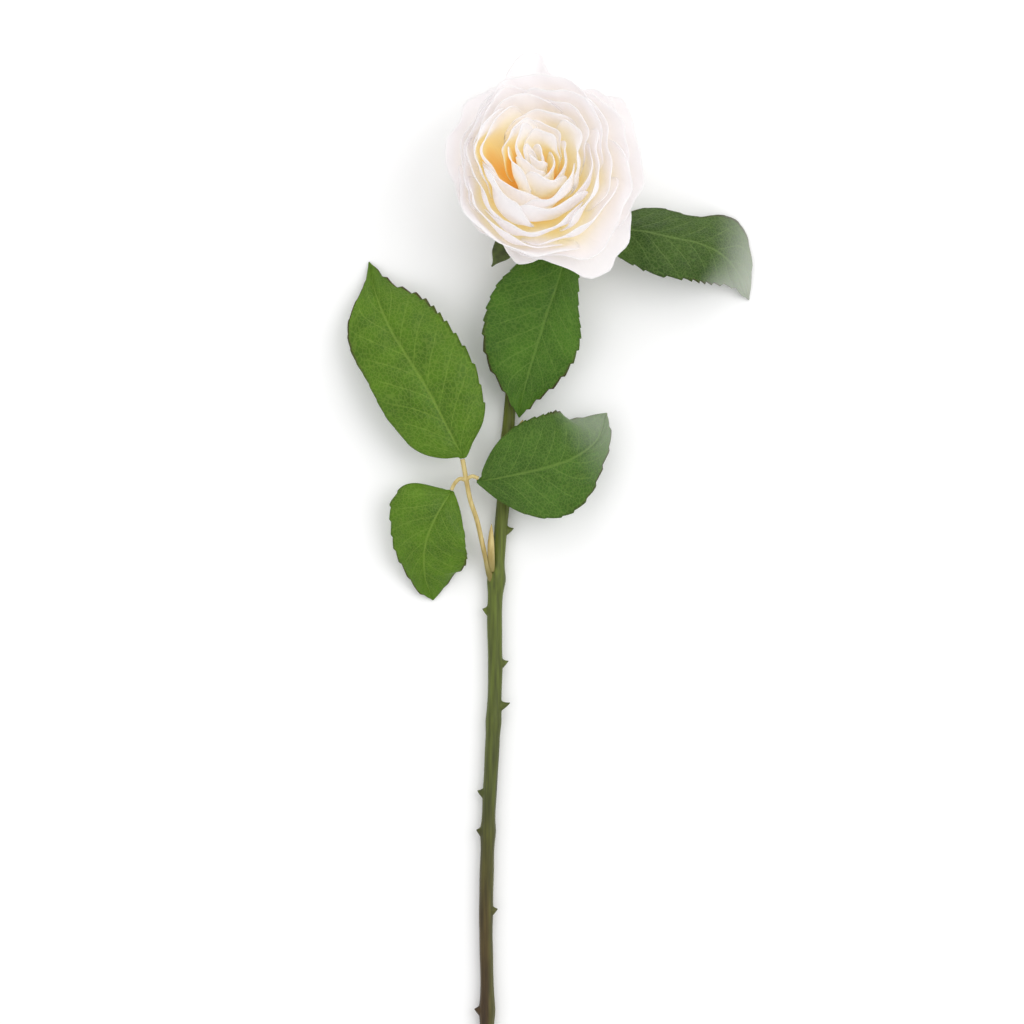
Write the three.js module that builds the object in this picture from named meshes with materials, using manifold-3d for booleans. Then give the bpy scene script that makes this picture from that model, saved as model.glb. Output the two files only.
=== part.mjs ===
// A cut garden rose lying on its back: a thorned stem, a compound leaf of three leaflets, two single
// leaves under the bloom, a hip with five sepals, and a cupped bloom of nested petals that looks up.
// Millimetres. +Y runs from the cut end to the bloom, +Z is up, and the rose lies on z = 0.
import * as THREE from "three";
import { mergeVertices } from "three/addons/utils/BufferGeometryUtils.js";
import Module from "manifold-3d";

const wasm = await Module();
wasm.setup();

// ---- Driving sizes ----

// Clearance left between pieces that touch.
const GAP = 0.3;

// The bloom: where the top of the receptacle stands and how far the bloom leans to +Y from straight up.
const BLOOM = { base: [9.9, 134.6, 29], leanDegrees: 18, petalThickness: 0.5 };

// The whorls from the heart outwards: petals in the whorl, azimuth of the first one, reach of the rim
// from the bloom's axis to the east, north, west and south, height of the rim over the receptacle, and the
// angle in degrees through which a petal curves from foot to rim: past 90 the rim leans back in.
const WHORLS = [
  { petals: 3, turn: 20, reach: [3.1, 3.1, 3.1, 3.1], height: 39, closing: 90 },
  { petals: 4, turn: 65, reach: [8.5, 8.7, 7.5, 7.7], height: 41, closing: 100 },
  { petals: 5, turn: -80, reach: [12.6, 13, 11.2, 12.2], height: 42, closing: 107 },
  { petals: 5, turn: -60, reach: [16.6, 19.2, 18, 18.2], height: 41, closing: 109 },
  { petals: 6, turn: -75, reach: [21, 25, 22, 24], height: 39, closing: 108 },
  { petals: 5, turn: -88, reach: [25.8, 30, 25.6, 29.4], height: 35.5, closing: 102 },
  { petals: 5, turn: -52, reach: [31.6, 34.8, 29.2, 34], height: 29, closing: 94 },
  { petals: 4, turn: -35, reach: [38.4, 39, 32.6, 36.6], height: 21, closing: 86 },
  { petals: 5, turn: -62, reach: [44, 42.8, 35.8, 39], height: 14, closing: 76 },
];

// The guard petals, which are the outer whorls, open most towards one side and curl back there.
const FLARE = { firstWhorl: 6, towards: -52, spread: 28, out: 3.4, down: 4 };

// Each petal: share of its whorl's spacing that it covers, how far its edges lie inside and outside its
// whorl, the narrow claw at its foot and the rounding of its rim.
const PETAL = { cover: 1.45, tuck: 0.33, claw: 0.28, rounding: 0.2, across: 8, along: 6 };

// The receptacle's cone, on which each whorl sits lower and further out than the one inside it.
const SEAT = { firstRadius: 1, radiusStep: 0.65, drop: 1 };

// The hip, measured from the top of the receptacle. Its lip stands out past the feet of the last whorl.
const HIP = { length: 19, neckRadius: 2.5, bellyRadius: 5.6, bellyHeight: -12.5, lip: 0.4 };

// Sepals spread from the hip's lip: azimuth of the first, and how far a tip rises over its foot.
const SEPAL = { count: 5, turn: -119, length: 29, halfWidth: 5.4, thickness: 0.6, rise: 4.5 };

// The stem thins towards the neck. Slant is the rise of its cut end per millimetre across.
const STEM = { radius: 2.9, neckRadius: 2.3, sides: 10, steps: 46, slant: 0.8 };

// The stem's centreline from the cut end to where the straight neck starts, under the hip.
const STEM_ROUTE = [
  [-11.2, -236, 2.9],
  [-10.4, -205, 3],
  [-10.9, -170, 3.2],
  [-9.9, -130, 3.4],
  [-8.4, -102, 3.6],
  [-7, -70, 3.7],
  [-7.2, -40, 3.8],
  [-5.4, -15, 3.6],
  [-3.2, 10, 3.4],
  [-1.2, 40, 3.1],
  [1.6, 70, 2.8],
  [4.8, 97, 2.5],
  [7.4, 113, 2.6],
  [8.9, 121.5, 3.6],
];

// Length of the neck that runs straight along the bloom's own axis.
const STRAIGHT_NECK = 3.4;

// Joints of the stem, where it swells, as distances along Y.
const STEM_JOINTS = [
  { y: -209, swell: 0.22 },
  { y: -134, swell: 0.14 },
  { y: -88, swell: 0.12 },
  { y: -28, swell: 0.34 },
  { y: 30, swell: 0.16 },
];
const JOINT_LENGTH = 4;

// Thorns: height along the stem, azimuth round it from +X towards +Z, and how far the point stands out.
const THORNS = [
  { y: -209, around: 175, length: 2.6 },
  { y: -167, around: 10, length: 2.4 },
  { y: -134, around: 170, length: 2.2 },
  { y: -118, around: 185, length: 2.8 },
  { y: -81, around: 12, length: 4.4 },
  { y: -63.5, around: 0, length: 2.6 },
  { y: -41.5, around: 178, length: 2.2 },
  { y: -7.5, around: 8, length: 3 },
];

// Shape of every thorn: radius of its foot, how far that is drawn out along the stem, and how deep it sits.
const THORN = { radius: 1.5, stretch: 1.5, sink: 1, sides: 6 };

// Stalks: the compound leaf's rachis with its two side stalks, and the two single leaves' stalks.
const RACHIS_FOOT = { y: -26, around: 160 };
const RACHIS_ROUTE = [
  [-12.6, -14, 8],
  [-14.6, -3.5, 10.6],
  [-17.4, 5, 12.2],
  [-19.2, 14.2, 13],
  [-20.6, 22, 13.6],
];
const LEFT_SIDE_ROUTE = [
  [-19.2, 14.2, 13],
  [-21.8, 13.8, 13.2],
  [-24, 11.7, 12.8],
  [-25.2, 9.2, 12.3],
];
const RIGHT_SIDE_ROUTE = [
  [-19.2, 14.2, 13],
  [-16.6, 14.9, 13.1],
  [-14, 14, 12.9],
];
const FRONT_STALK_FOOT = { y: 97, around: 55 };
const FRONT_STALK_ROUTE = [
  [11.5, 107, 9.5],
  [16, 114, 13],
  [20.5, 117, 16],
  [23, 115.3, 18.4],
  [23, 111.6, 19.6],
];
const RIGHT_STALK_FOOT = { y: 86, around: 15 };
const RIGHT_STALK_ROUTE = [
  [14, 97.5, 6.5],
  [25, 109, 12],
  [36, 116.5, 16.4],
];

// Thickness of every stalk, and of its foot over the first share of its length.
const STALK = { radius: 1, foot: 1.7, footShare: 0.22, sides: 8, steps: 9 };

// Leaf blades. The route is the midrib's, onwards from the end of the stalk. The half widths run from the
// foot to the tip at the stations below, to the left and to the right of the way to the tip. Each half
// leaves the midrib at its own slope, in degrees up from level, and rolls down towards its margin. The lead
// is the straight run of midrib that carries on the stalk's direction.
const LEAF = { lead: 2, thickness: 0.5, across: 6, along: 14, endHalfWidth: 0.5 };
const STATIONS = [0, 0.08, 0.25, 0.5, 0.75, 0.9, 1];
const BLADES = {
  terminal_leaflet: {
    stalk: RACHIS_ROUTE,
    route: [
      [-24.3, 30, 15.6],
      [-34, 48.8, 18.4],
      [-42.4, 62.6, 18],
      [-50, 75, 14.6],
      [-56.6, 90, 7.4],
      [-60, 105, 0.5],
    ],
    halfWidths: [
      [12, 20, 20, 15.5, 4],
      [12.5, 21, 22.5, 17, 6],
    ],
    slope: [14, 14],
    roll: 0.3,
  },
  small_leaflet: {
    stalk: LEFT_SIDE_ROUTE,
    route: [
      [-31.8, -2.4, 14.4],
      [-36.2, -13.8, 12],
      [-36.6, -26.5, 6.2],
      [-33.2, -37, 0.5],
    ],
    halfWidths: [
      [6.5, 13.5, 18, 16, 9],
      [13, 19.5, 14, 7, 3.5],
    ],
    slope: [14, 10],
    roll: 0.3,
  },
  right_leaflet: {
    stalk: RIGHT_SIDE_ROUTE,
    route: [
      [-1, 15, 15.6],
      [13.6, 18.3, 18.2],
      [26, 22.6, 18.4],
      [35.4, 30, 14.6],
      [39.6, 41.4, 8],
    ],
    halfWidths: [
      [9.2, 18.5, 21.4, 19, 12],
      [7.6, 17.2, 21, 7.8, 3],
    ],
    slope: [10, 10],
    roll: 0.25,
  },
  front_leaf: {
    stalk: FRONT_STALK_ROUTE,
    route: [
      [21.3, 103, 20],
      [18.4, 93, 20],
      [14.8, 83, 19],
      [11, 71, 16.6],
      [7.6, 60, 13.6],
      [4.4, 48, 10],
      [3, 39.5, 8],
    ],
    halfWidths: [
      [5, 9.5, 16.5, 12.5, 5],
      [12, 21, 24.5, 17.5, 6],
    ],
    slope: [10, 10],
    roll: 0.22,
  },
  right_leaf: {
    stalk: RIGHT_STALK_ROUTE,
    route: [
      [53, 116.6, 21],
      [64, 114.2, 22.2],
      [78, 111.2, 20.6],
      [87.6, 106.6, 16],
      [94.8, 99, 8.6],
      [99.5, 89, 0.5],
    ],
    halfWidths: [
      [7, 14.5, 14.5, 19.5, 6.5],
      [9, 15, 15.5, 11, 3.5],
    ],
    slope: [-40, 6],
    roll: 0.12,
  },
};

// Buds in the joints: where they start and end, and their thickness.
const BUDS = {
  axil_bud: { route: [[-9.6, -19.5, 8.2], [-9.6, -13, 8.6], [-9.2, -5, 8.8]], radius: 1.1 },
  upper_bud: { route: [[1.7, 31, 5], [3, 34.6, 5.6], [4.6, 38.6, 5.8]], radius: 1 },
};

const COLOURS = {
  petal: { color: 0xfbf4e2, roughness: 0.75 },
  stem: { color: 0x5c6b2c, roughness: 0.6 },
  stalk: { color: 0xc9b26a, roughness: 0.6 },
  leaf: { color: 0x3f7a22, roughness: 0.45 },
  hip: { color: 0x56702f, roughness: 0.6 },
};

// ---- Shaping tools ----

const radians = THREE.MathUtils.degToRad;
const ease = (low, high, x) => THREE.MathUtils.smoothstep(x, low, high);
const vector = (xyz) => new THREE.Vector3(...xyz);
const curve = (route) => new THREE.CatmullRomCurve3(route.map(vector));

// Welds a three.js solid and moves each of its points to where place says.
function shaped(geometry, place) {
  geometry.deleteAttribute("normal");
  geometry.deleteAttribute("uv");
  const welded = mergeVertices(geometry);
  const points = welded.attributes.position;
  for (let i = 0; i < points.count; i++) {
    const moved = place(points.getX(i), points.getY(i), points.getZ(i));
    points.setXYZ(i, moved.x, moved.y, moved.z);
  }
  welded.computeVertexNormals();
  return welded;
}

// A thin sheet: pointAt(u, v) with u from -1 to 1 across and v from 0 to 1 along.
function sheet(pointAt, across, along, thickness) {
  const step = 1e-3;
  const flat = new THREE.BoxGeometry(2, 1, 1, across, along, 1).translate(0, 0.5, 0);
  return shaped(flat, (u, v, side) => {
    const right = pointAt(Math.min(u + step, 1), v);
    const left = pointAt(Math.max(u - step, -1), v);
    const ahead = pointAt(u, Math.min(v + step, 1));
    const behind = pointAt(u, Math.max(v - step, 0));
    const normal = right.sub(left).cross(ahead.sub(behind)).normalize();
    return pointAt(u, v).addScaledVector(normal, side * thickness);
  });
}

// A round rod along a route: radiusAt(t) with t from 0 to 1, and slant for a cut on the skew at its start.
function rod(route, radiusAt, sides, steps, slant = 0) {
  const line = curve(route);
  const frames = line.computeFrenetFrames(steps, false);
  const straight = new THREE.CylinderGeometry(1, 1, 1, sides, steps);
  return shaped(straight, (x, y, z) => {
    const t = y + 0.5;
    const row = Math.round(t * steps);
    const radius = radiusAt(t, line);
    const point = line.getPointAt(t);
    point.addScaledVector(frames.binormals[row], x * radius);
    point.addScaledVector(frames.normals[row], z * radius);
    return row === 0 ? point.addScaledVector(frames.tangents[0], slant * x * radius) : point;
  });
}

// Joins closed solids that touch or cross into one.
function joined(geometries) {
  const solids = geometries.map((geometry) => {
    const mesh = { numProp: 3, vertProperties: geometry.attributes.position.array };
    mesh.triVerts = new Uint32Array(geometry.index.array);
    return new wasm.Manifold(new wasm.Mesh(mesh));
  });
  const mesh = solids.reduce((whole, piece) => whole.add(piece)).getMesh();
  const geometry = new THREE.BufferGeometry();
  geometry.setAttribute("position", new THREE.BufferAttribute(mesh.vertProperties, 3));
  geometry.setIndex(new THREE.BufferAttribute(mesh.triVerts, 1));
  geometry.computeVertexNormals();
  return geometry;
}

function piece(name, geometry, kind) {
  const mesh = new THREE.Mesh(geometry, new THREE.MeshStandardMaterial({ ...COLOURS[kind], metalness: 0 }));
  mesh.name = name;
  return mesh;
}

// ---- The bloom ----

// A smooth curve through one number per whorl, so that a share of a whorl can be asked for.
function perWhorl(valueOf) {
  const last = WHORLS.length - 1;
  const line = new THREE.SplineCurve(WHORLS.map((whorl, i) => new THREE.Vector2(i, valueOf(whorl))));
  const slope = (from, to) => line.getPoint(to / last).y - line.getPoint(from / last).y;
  return (layer) => {
    const inside = THREE.MathUtils.clamp(layer, 0, last);
    const beyond = layer - inside;
    const edgeSlope = beyond < 0 ? slope(0, 1) : slope(last - 1, last);
    return line.getPoint(inside / last).y + beyond * edgeSlope;
  };
}

const rimHeight = perWhorl((whorl) => whorl.height);
const rimClosing = perWhorl((whorl) => radians(whorl.closing));
const reachTo = [0, 1, 2, 3].map((side) => perWhorl((whorl) => whorl.reach[side]));

// The rim's distance from the axis at any azimuth, through its four stated reaches.
function rimReach(layer, azimuth) {
  const [east, north, west, south] = reachTo.map((reach) => reach(layer));
  const round = (east + north + west + south) / 4;
  const oval = (east - north + west - south) / 4;
  const aside = ((east - west) / 2) * Math.cos(azimuth) + ((north - south) / 2) * Math.sin(azimuth);
  return round + aside + oval * Math.cos(2 * azimuth);
}

// How far the guard petals open at this azimuth, from 0 to 1.
function openness(azimuth) {
  const aside = azimuth - radians(FLARE.towards);
  const away = Math.atan2(Math.sin(aside), Math.cos(aside));
  return Math.exp(-((away / radians(FLARE.spread)) ** 2));
}

// A point of the bloom: layer counts whorls outwards, and rise goes from the foot of a petal to its rim.
function bloomPoint(layer, azimuth, rise) {
  const footRadius = SEAT.firstRadius + SEAT.radiusStep * layer;
  const footHeight = -SEAT.drop * layer;
  const closing = rimClosing(layer);
  const outward = Math.sin(rise * closing) / Math.sin(closing);
  const upward = (1 - Math.cos(rise * closing)) / (1 - Math.cos(closing));
  const opening = Math.max(layer - FLARE.firstWhorl, 0) * openness(azimuth) * ease(0.5, 1, rise) ** 2;
  const radius = footRadius + (rimReach(layer, azimuth) - footRadius) * outward + FLARE.out * opening;
  const height = footHeight + (rimHeight(layer) - footHeight) * upward - FLARE.down * opening;
  return new THREE.Vector3(radius * Math.cos(azimuth), radius * Math.sin(azimuth), height);
}

function petal(whorlNumber, number) {
  const whorl = WHORLS[whorlNumber];
  const spacing = (2 * Math.PI) / whorl.petals;
  const middle = radians(whorl.turn) + number * spacing;
  const winding = whorlNumber % 2 ? -1 : 1;
  const pointAt = (u, v) => {
    const rise = v * (1 - PETAL.rounding * u ** 4);
    const spread = PETAL.claw + (1 - PETAL.claw) * ease(0, 0.55, rise);
    const azimuth = middle + (u * spacing * PETAL.cover * spread) / 2;
    const layer = whorlNumber + winding * PETAL.tuck * u * ease(0.05, 0.35, rise);
    return bloomPoint(layer, azimuth, rise);
  };
  const geometry = sheet(pointAt, PETAL.across, PETAL.along, BLOOM.petalThickness);
  return piece(`petal_${whorlNumber + 1}_${number + 1}`, geometry, "petal");
}

// The hip is the swollen top of the stalk. Its cone carries the petals' feet.
function hip() {
  const steepness = SEAT.drop / SEAT.radiusStep;
  const clearance = BLOOM.petalThickness / 2 + GAP * Math.hypot(1, steepness);
  const lastWhorl = WHORLS.length - 1;
  const lipRadius = SEAT.firstRadius + SEAT.radiusStep * lastWhorl + HIP.lip;
  const coneHeight = (radius) => -clearance - steepness * (radius - SEAT.firstRadius);
  const side = new THREE.SplineCurve([
    new THREE.Vector2(HIP.neckRadius, -HIP.length),
    new THREE.Vector2(HIP.neckRadius * 1.25, -HIP.length + 2),
    new THREE.Vector2(HIP.bellyRadius, HIP.bellyHeight),
    new THREE.Vector2(lipRadius, coneHeight(lipRadius)),
  ]);
  const outline = [
    new THREE.Vector2(0, -HIP.length),
    ...side.getPoints(8),
    new THREE.Vector2(0, coneHeight(0)),
  ];
  return piece("hip", shaped(new THREE.LatheGeometry(outline, 14), (x, y, z) => vector([x, -z, y])), "hip");
}

function sepal(number) {
  const azimuth = radians(SEPAL.turn) + (number * 2 * Math.PI) / SEPAL.count;
  const lastWhorl = WHORLS.length - 1;
  const foot = SEAT.firstRadius + SEAT.radiusStep * lastWhorl + HIP.lip + GAP;
  const outward = vector([Math.cos(azimuth), Math.sin(azimuth), 0]);
  const sideways = vector([-Math.sin(azimuth), Math.cos(azimuth), 0]);
  const pointAt = (u, v) => {
    const breadth = SEPAL.halfWidth * (0.12 + 0.88 * Math.sin(Math.PI * (0.22 + 0.78 * v)));
    const cup = 0.9 * u * u * Math.sin(Math.PI * v);
    const underPetals = SEAT.drop * lastWhorl + 2.4 * BLOOM.petalThickness + GAP;
    const height = SEPAL.rise * v * v + cup - underPetals;
    return outward
      .clone()
      .multiplyScalar(foot + SEPAL.length * v)
      .addScaledVector(sideways, u * breadth)
      .setZ(height);
  };
  return piece(`sepal_${number + 1}`, sheet(pointAt, 3, 7, SEPAL.thickness), "hip");
}

function bloom() {
  const group = new THREE.Group();
  group.position.copy(vector(BLOOM.base));
  group.rotation.x = -radians(BLOOM.leanDegrees);
  group.add(hip());
  for (let i = 0; i < SEPAL.count; i++) group.add(sepal(i));
  WHORLS.forEach((whorl, i) => {
    for (let j = 0; j < whorl.petals; j++) group.add(petal(i, j));
  });
  return group;
}

// ---- The stem ----

const bloomAxis = vector([0, 0, 1]).applyAxisAngle(vector([1, 0, 0]), -radians(BLOOM.leanDegrees));
const belowBloom = (distance) => vector(BLOOM.base).addScaledVector(bloomAxis, -distance).toArray();
const neckEnd = HIP.length + GAP;
const stemRoute = [...STEM_ROUTE, belowBloom(neckEnd + STRAIGHT_NECK), belowBloom(neckEnd)];

function stemRadius(t, line) {
  const { y } = line.getPointAt(t);
  const plain = THREE.MathUtils.lerp(STEM.radius, STEM.neckRadius, ease(0.35, 0.95, t));
  const swelling = STEM_JOINTS.map((joint) => joint.swell * Math.exp(-(((y - joint.y) / JOINT_LENGTH) ** 2)));
  return plain * (1 + swelling.reduce((a, b) => a + b));
}

// The stem's centreline point at a distance along Y, and its radius there.
function stemAt(y) {
  const line = curve(stemRoute);
  let [low, high] = [0, 1];
  for (let i = 0; i < 30; i++) {
    const middle = (low + high) / 2;
    if (line.getPointAt(middle).y < y) low = middle;
    else high = middle;
  }
  return { centre: line.getPointAt(low), radius: stemRadius(low, line) };
}

function thorn({ y, around, length }) {
  const { centre, radius } = stemAt(y);
  const outward = vector([Math.cos(radians(around)), 0, Math.sin(radians(around))]);
  const cone = new THREE.ConeGeometry(THORN.radius, length + THORN.sink, THORN.sides, 2);
  cone.translate(0, (length + THORN.sink) / 2, 0);
  const across = vector([0, 1, 0]).cross(outward).normalize();
  return shaped(cone, (x, h, z) => {
    const hook = (h * h) / (length * 4);
    return centre
      .clone()
      .addScaledVector(outward, radius - THORN.sink + h)
      .addScaledVector(across, x)
      .add(vector([0, -z * THORN.stretch + hook, 0]));
  });
}

function stem() {
  const trunk = rod(stemRoute, stemRadius, STEM.sides, STEM.steps, STEM.slant);
  return piece("stem", joined([trunk, ...THORNS.map(thorn)]), "stem");
}

// ---- Leaves and buds ----

const stalkRadius = (t) => STALK.radius + (STALK.foot - STALK.radius) * (1 - ease(0, STALK.footShare, t));

// A stalk's foot lies along the stem's side, clear of it.
function footed({ y, around }, route) {
  const { centre, radius } = stemAt(y);
  const outward = vector([Math.cos(radians(around)), 0, Math.sin(radians(around))]);
  return [centre.addScaledVector(outward, radius + GAP + STALK.foot).toArray(), ...route];
}

function stalk(foot, route) {
  return rod(footed(foot, route), stalkRadius, STALK.sides, STALK.steps);
}

function rachis() {
  const thin = () => STALK.radius * 0.75;
  const main = stalk(RACHIS_FOOT, RACHIS_ROUTE);
  const sides = [LEFT_SIDE_ROUTE, RIGHT_SIDE_ROUTE].map((route) => rod(route, thin, STALK.sides, 4));
  return piece("rachis", joined([main, ...sides]), "stalk");
}

// Half width of a blade at t from 0 at the foot to 1 at the tip, through its sizes at the stations.
function breadthAt(widths, t) {
  const sizes = [LEAF.endHalfWidth, ...widths, LEAF.endHalfWidth];
  const next = Math.max(1, STATIONS.findIndex((station) => station >= t));
  const share = (t - STATIONS[next - 1]) / (STATIONS[next] - STATIONS[next - 1]);
  const rise = (i) => {
    if (i === 0 || i === STATIONS.length - 1) return 0;
    return (sizes[i + 1] - sizes[i - 1]) / (STATIONS[i + 1] - STATIONS[i - 1]);
  };
  const span = STATIONS[next] - STATIONS[next - 1];
  const [a, b] = [sizes[next - 1], sizes[next]];
  const [slopeA, slopeB] = [rise(next - 1) * span, rise(next) * span];
  const bend = share * share * (3 - 2 * share);
  return (
    a + (b - a) * bend +
    slopeA * share * (1 - share) ** 2 -
    slopeB * share ** 2 * (1 - share)
  );
}

function blade(name, { stalk: from, route, halfWidths, slope, roll }) {
  const onward = curve(from).getTangentAt(1);
  const start = vector(from.at(-1)).addScaledVector(onward, GAP);
  const lead = start.clone().addScaledVector(onward, LEAF.lead);
  const line = curve([start.toArray(), lead.toArray(), ...route]);
  const pointAt = (u, t) => {
    const side = u < 0 ? 0 : 1;
    const breadth = Math.max(breadthAt(halfWidths[side], t), LEAF.endHalfWidth);
    const ahead = line.getTangentAt(t);
    const right = ahead.clone().cross(vector([0, 0, 1])).normalize();
    const up = right.clone().cross(ahead);
    const angle = radians(slope[side]);
    const lift = breadth * (Math.sin(angle) * Math.abs(u) - roll * u * u);
    return line
      .getPointAt(t)
      .addScaledVector(right, u * breadth * Math.cos(angle))
      .addScaledVector(up, lift);
  };
  return piece(name, sheet(pointAt, LEAF.across, LEAF.along, LEAF.thickness), "leaf");
}

function bud(name, { route, radius }) {
  const swell = (t) => Math.max(radius * Math.sin(Math.PI * (0.15 + 0.85 * t)) ** 0.7, radius * 0.2);
  return piece(name, rod(route, swell, 6, 5), "stalk");
}

// ---- The whole rose, set down with its lowest point on z = 0 and centred over the origin ----

const rose = new THREE.Group();
rose.add(stem(), bloom(), rachis());
rose.add(piece("front_stalk", stalk(FRONT_STALK_FOOT, FRONT_STALK_ROUTE), "stalk"));
rose.add(piece("right_stalk", stalk(RIGHT_STALK_FOOT, RIGHT_STALK_ROUTE), "stalk"));
for (const [name, sizes] of Object.entries(BLADES)) rose.add(blade(name, sizes));
for (const [name, sizes] of Object.entries(BUDS)) rose.add(bud(name, sizes));

const extent = new THREE.Box3().setFromObject(rose, true);
const middle = extent.getCenter(new THREE.Vector3());
rose.position.set(-middle.x, -middle.y, -extent.min.z);

const part = new THREE.Group();
part.add(rose);

export default part;
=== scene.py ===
from collections import namedtuple

import bpy
import numpy as np
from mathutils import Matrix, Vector


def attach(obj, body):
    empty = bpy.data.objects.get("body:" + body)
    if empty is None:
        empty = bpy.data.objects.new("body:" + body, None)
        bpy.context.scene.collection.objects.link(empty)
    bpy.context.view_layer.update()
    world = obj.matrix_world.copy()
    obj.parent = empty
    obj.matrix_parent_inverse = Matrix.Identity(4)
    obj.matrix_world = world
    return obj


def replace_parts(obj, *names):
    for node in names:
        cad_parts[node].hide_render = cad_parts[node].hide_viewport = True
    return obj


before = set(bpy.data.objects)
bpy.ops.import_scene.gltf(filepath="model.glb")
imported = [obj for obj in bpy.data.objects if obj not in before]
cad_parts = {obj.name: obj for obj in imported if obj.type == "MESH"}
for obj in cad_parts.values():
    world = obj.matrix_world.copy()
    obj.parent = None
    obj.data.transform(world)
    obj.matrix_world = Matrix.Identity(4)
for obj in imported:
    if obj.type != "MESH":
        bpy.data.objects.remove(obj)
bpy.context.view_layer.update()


# ---------------------------------------------------------------- Camera, lights and floor
# The rose lies on a wide pale table under soft studio light, and the camera looks straight down on it.
# A large soft light stands to the right of the bloom, weaker ones stand opposite and beyond it, and the sky
# is an even white.

# The model's own origin is the middle of its box. Points below are given from a second origin beside the
# stem, and the top of the hip's cone, which has a known place there, ties the two together.
hip_top = max((vertex.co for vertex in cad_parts["hip"].data.vertices), key=lambda point: point.z)
hip_top_from_origin = np.array([0.0099, 0.134828, 0.029702])
origin = np.array(hip_top) - hip_top_from_origin

scene = bpy.context.scene
scene.view_settings.view_transform = "Standard"
scene.view_settings.look = "None"

camera_data = bpy.data.cameras.new("camera")
camera_data.lens = 135
camera_data.sensor_width = 36
camera_data.clip_end = 20
camera = bpy.data.objects.new("camera", camera_data)
camera_height = 1.6125
camera.location = Vector(origin) + Vector((0, 0, camera_height))
scene.collection.objects.link(camera)
scene.camera = camera

light_target = Vector((0.0, 0.05, 0.03))
for name, place, size, power in (
    ("key_light", (0.85, 0.35, 1.25), 1.1, 6),
    ("fill_light", (-0.9, -0.5, 1.3), 1.2, 2),
    ("top_light", (-0.1, 1.0, 0.9), 0.8, 2),
):
    light_data = bpy.data.lights.new(name, "AREA")
    light_data.shape = "DISK"
    light_data.size = size
    light_data.energy = power
    light = bpy.data.objects.new(name, light_data)
    light.location = place
    aim = light_target - Vector(place)
    light.rotation_euler = aim.to_track_quat("-Z", "Y").to_euler()
    scene.collection.objects.link(light)

world = bpy.data.worlds.new("studio")
world.use_nodes = True
world.node_tree.nodes["Background"].inputs["Color"].default_value = (1.0, 1.0, 1.0, 1)
world.node_tree.nodes["Background"].inputs["Strength"].default_value = 0.82
scene.world = world

# Light bounces many times between white petals before it fades.
scene.cycles.max_bounces = 18
scene.cycles.diffuse_bounces = 14
scene.cycles.transmission_bounces = 14


def new_material(name):
    """A new material, its node tree and its shader."""
    material = bpy.data.materials.new(name)
    material.use_nodes = True
    tree = material.node_tree
    return material, tree, tree.nodes["Principled BSDF"]


def link_up(tree, *pairs):
    """Links each pair of sockets, given as (node, output name) and (node, input name)."""
    for (source, output), (target, socket) in pairs:
        tree.links.new(source.outputs[output], target.inputs[socket])


def noise(tree, scale, detail=2):
    """A noise pattern: scale is how closely it is packed, and detail how many finer layers it has."""
    node = tree.nodes.new("ShaderNodeTexNoise")
    node.inputs["Scale"].default_value = scale
    node.inputs["Detail"].default_value = detail
    return node


def colour_ramp(tree, *stops):
    """A colour ramp whose stops are each a position and a colour."""
    node = tree.nodes.new("ShaderNodeValToRGB")
    elements = node.color_ramp.elements
    for element, (position, colour) in zip(elements, (stops[0], stops[-1])):
        element.position = position
        element.color = (*colour, 1)
    for position, colour in stops[1:-1]:
        elements.new(position).color = (*colour, 1)
    return node


bpy.ops.object.select_all(action="DESELECT")
floor_drop = 0.0002
bpy.ops.mesh.primitive_plane_add(size=8, location=(0, 0, -floor_drop))
bpy.ops.object.transform_apply(location=True, rotation=False, scale=False)
floor = bpy.context.object
floor.name = "table"
material, tree, shader = new_material("table_white")
grain = noise(tree, 3)
tint = colour_ramp(tree, (0, (0.985, 0.985, 0.985)), (1, (0.995, 0.995, 0.995)))
place = tree.nodes.new("ShaderNodeTexCoord")
link_up(
    tree,
    ((place, "Object"), (grain, "Vector")),
    ((grain, "Fac"), (tint, "Fac")),
    ((tint, "Color"), (shader, "Base Color")),
)
shader.inputs["Roughness"].default_value = 0.9
shader.inputs["Specular IOR Level"].default_value = 0.1
floor.data.materials.append(material)


# ---------------------------------------------------------------- Stem
# A woody green shoot, browner towards the cut end, with swollen joints and a few short hooked thorns.
# The thorns grow out of the bark, so stem and thorns are one skin, and the foot is cut at a slant.


def along(route, shares):
    """Points, in metres, and unit directions at shares of the length of a smooth line through the route."""
    stops = np.array(route) / 1000 + origin
    padded = np.vstack([2 * stops[0] - stops[1], stops, 2 * stops[-1] - stops[-2]])
    steps_a_span = 60
    t = np.linspace(0, 1, steps_a_span, endpoint=False)[:, None]
    runs = []
    for a, b, c, d in zip(padded, padded[1:], padded[2:], padded[3:]):
        bend = (2 * a - 5 * b + 4 * c - d) * t**2 + (3 * b - a - 3 * c + d) * t**3
        runs.append(0.5 * (2 * b + (c - a) * t + bend))
    line = np.vstack(runs + [stops[-1:]])
    lengths = np.r_[0, np.cumsum(np.linalg.norm(np.diff(line, axis=0), axis=1))]
    slopes = np.gradient(line, lengths, axis=0)
    where = np.asarray(shares) * lengths[-1]
    points = np.column_stack([np.interp(where, lengths, line[:, k]) for k in range(3)])
    headings = np.column_stack([np.interp(where, lengths, slopes[:, k]) for k in range(3)])
    return points, headings / np.linalg.norm(headings, axis=1, keepdims=True)


def ease(low, high, x):
    """0 below low, 1 above high, and a smooth rise between."""
    t = np.clip((np.asarray(x, float) - low) / (high - low), 0, 1)
    return t * t * (3 - 2 * t)


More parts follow.
